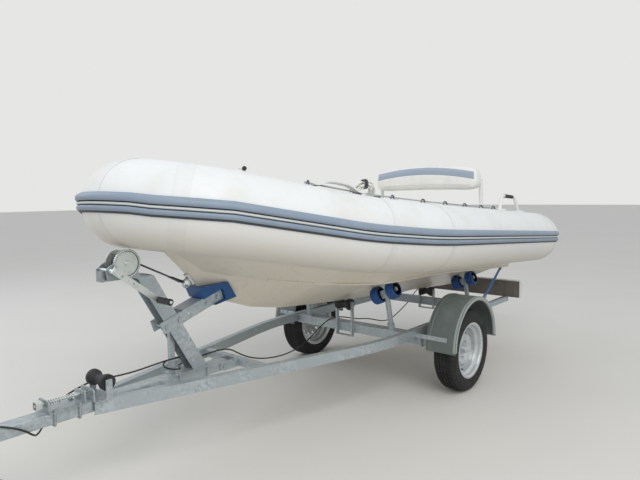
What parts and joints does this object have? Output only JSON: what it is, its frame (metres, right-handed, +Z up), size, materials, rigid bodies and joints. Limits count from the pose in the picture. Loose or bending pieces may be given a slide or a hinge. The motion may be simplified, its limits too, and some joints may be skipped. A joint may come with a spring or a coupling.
{
  "type": "rigid inflatable boat on a tilting road trailer",
  "caption": "Rigid inflatable boat with white tubes, deep-V hull, bench seat and backrest, on a galvanised tilting road trailer with winch and jockey wheel.",
  "frame": {"origin": "on the ground, under the middle of the overall length and width", "axes": "+X forward to the coupling and the bow, +Y to port, +Z up"},
  "size_m": [4.7792, 1.8508, 1.5519],
  "materials": {
    "galvanised_steel": "hot-dip galvanised, spangled",
    "zinc_plated_steel": "bright zinc plate",
    "wheel_silver": "silver wheel paint",
    "tyre_rubber": "road-worn black rubber",
    "mudguard_plastic": "moulded grey plastic",
    "board_plastic": "dark grey board with a white edge",
    "lamp_lens": "red lens",
    "roller_blue": "blue roller rubber",
    "black_rubber": "matt black rubber",
    "tube_fabric": "white coated tube fabric",
    "strake_grey": "blue-grey strake rubber",
    "gelcoat": "off-white gelcoat",
    "cushion_vinyl": "white vinyl",
    "frame_white": "white powder coat",
    "rope_grey": "woven rope",
    "stainless": "polished stainless steel",
    "strap_black": "black webbing",
    "strap_blue": "blue webbing",
    "cable_black": "black sheath",
    "plug_plastic": "black plug body"
  },
  "bodies": {
    "trailer_and_boat": {"side_rail_port": "galvanised_steel", "side_rail_starboard": "galvanised_steel", "front_cross_member": "galvanised_steel", "rear_cross_member": "galvanised_steel", "hinge_cross_member": "galvanised_steel", "nose_bridge": "galvanised_steel", "axle_beam": "galvanised_steel", "mudguard_port": "mudguard_plastic", "mudguard_starboard": "mudguard_plastic", "mudguard_stays": "galvanised_steel", "light_board": "board_plastic", "light_board_arms": "galvanised_steel", "rear_lamps": "lamp_lens", "roller_posts_front": "galvanised_steel", "roller_posts_rear": "galvanised_steel", "keel_posts_front": "galvanised_steel", "keel_posts_rear": "galvanised_steel", "tie_down_straps": "strap_blue", "buoyancy_tube": "tube_fabric", "rubbing_strake": "strake_grey", "hull": "gelcoat", "bow_locker": "gelcoat", "seat_box": "gelcoat", "seat_cushion": "cushion_vinyl", "backrest_cushion": "cushion_vinyl", "backrest_frame": "frame_white", "grab_lines": "rope_grey", "stern_rails": "frame_white", "bow_eye": "stainless", "rope_coil": "rope_grey", "lighting_cable": "cable_black"},
    "wheel_port": {"wheel_rim_port": "wheel_silver", "tyre_port": "tyre_rubber"},
    "wheel_starboard": {"wheel_rim_starboard": "wheel_silver", "tyre_starboard": "tyre_rubber"},
    "roller_front_port": {"rollers_front_port": "roller_blue"},
    "roller_front_starboard": {"rollers_front_starboard": "roller_blue"},
    "roller_rear_port": {"rollers_rear_port": "roller_blue"},
    "roller_rear_starboard": {"rollers_rear_starboard": "roller_blue"},
    "roller_keel_front": {"keel_roller_front": "black_rubber"},
    "roller_keel_rear": {"keel_roller_rear": "black_rubber"},
    "roller_bow": {"bow_roller": "black_rubber"},
    "drawbar": {"drawbar_tube": "galvanised_steel", "coupling_head": "zinc_plated_steel", "latch_bracket": "zinc_plated_steel", "latch_spring": "zinc_plated_steel", "winch_post": "galvanised_steel", "winch_frame": "zinc_plated_steel", "winch_drum": "zinc_plated_steel", "latch_rod": "zinc_plated_steel", "winch_crank": "zinc_plated_steel", "winch_strap": "strap_black", "bow_stop_arm": "galvanised_steel", "bow_stop_block": "roller_blue", "jockey_clamp": "zinc_plated_steel", "cable_plug": "plug_plastic"},
    "jockey_fork": {"jockey_leg": "zinc_plated_steel"},
    "jockey_tyre": {"jockey_wheel": "black_rubber"}
  },
  "joints": [
    {"name": "wheel_port_spin", "type": "hinge", "parent": "trailer_and_boat", "child": "wheel_port", "pos_m": [-0.7, 0.684, 0.275], "axis": [0, 1, 0], "continuous": true},
    {"name": "wheel_starboard_spin", "type": "hinge", "parent": "trailer_and_boat", "child": "wheel_starboard", "pos_m": [-0.7, -0.684, 0.275], "axis": [0, 1, 0], "continuous": true},
    {"name": "roller_front_port_spin", "type": "hinge", "parent": "trailer_and_boat", "child": "roller_front_port", "pos_m": [-0.28, 0.348, 0.68485], "axis": [0, 0.9205, 0.3907], "continuous": true},
    {"name": "roller_front_starboard_spin", "type": "hinge", "parent": "trailer_and_boat", "child": "roller_front_starboard", "pos_m": [-0.28, -0.348, 0.68485], "axis": [0, 0.9205, -0.3907], "continuous": true},
    {"name": "roller_rear_port_spin", "type": "hinge", "parent": "trailer_and_boat", "child": "roller_rear_port", "pos_m": [-1.435, 0.348, 0.61803], "axis": [0, 0.9205, 0.3907], "continuous": true},
    {"name": "roller_rear_starboard_spin", "type": "hinge", "parent": "trailer_and_boat", "child": "roller_rear_starboard", "pos_m": [-1.435, -0.348, 0.61803], "axis": [0, 0.9205, -0.3907], "continuous": true},
    {"name": "keel_roller_front_spin", "type": "hinge", "parent": "trailer_and_boat", "child": "roller_keel_front", "pos_m": [-0.2875, 0, 0.56879], "axis": [0, 1, 0], "continuous": true},
    {"name": "keel_roller_rear_spin", "type": "hinge", "parent": "trailer_and_boat", "child": "roller_keel_rear", "pos_m": [-1.4375, 0, 0.49513], "axis": [0, 1, 0], "continuous": true},
    {"name": "bow_roller_spin", "type": "hinge", "parent": "trailer_and_boat", "child": "roller_bow", "pos_m": [1.504, 0, 0.512], "axis": [0, 1, 0], "continuous": true},
    {"name": "drawbar_tilt", "type": "hinge", "parent": "trailer_and_boat", "child": "drawbar", "pos_m": [0.834, 0, 0.4135], "axis": [0, 1, 0], "range_deg": [0, 12], "deforming": ["lighting_cable", "winch_strap"]},
    {"name": "jockey_swivel", "type": "hinge", "parent": "drawbar", "child": "jockey_fork", "pos_m": [2, -0.072, 0], "axis": [0, 0, 1], "continuous": true},
    {"name": "jockey_wheel_spin", "type": "hinge", "parent": "jockey_fork", "child": "jockey_tyre", "pos_m": [1.96, -0.072, 0.1], "axis": [0, 1, 0], "continuous": true}
  ]
}
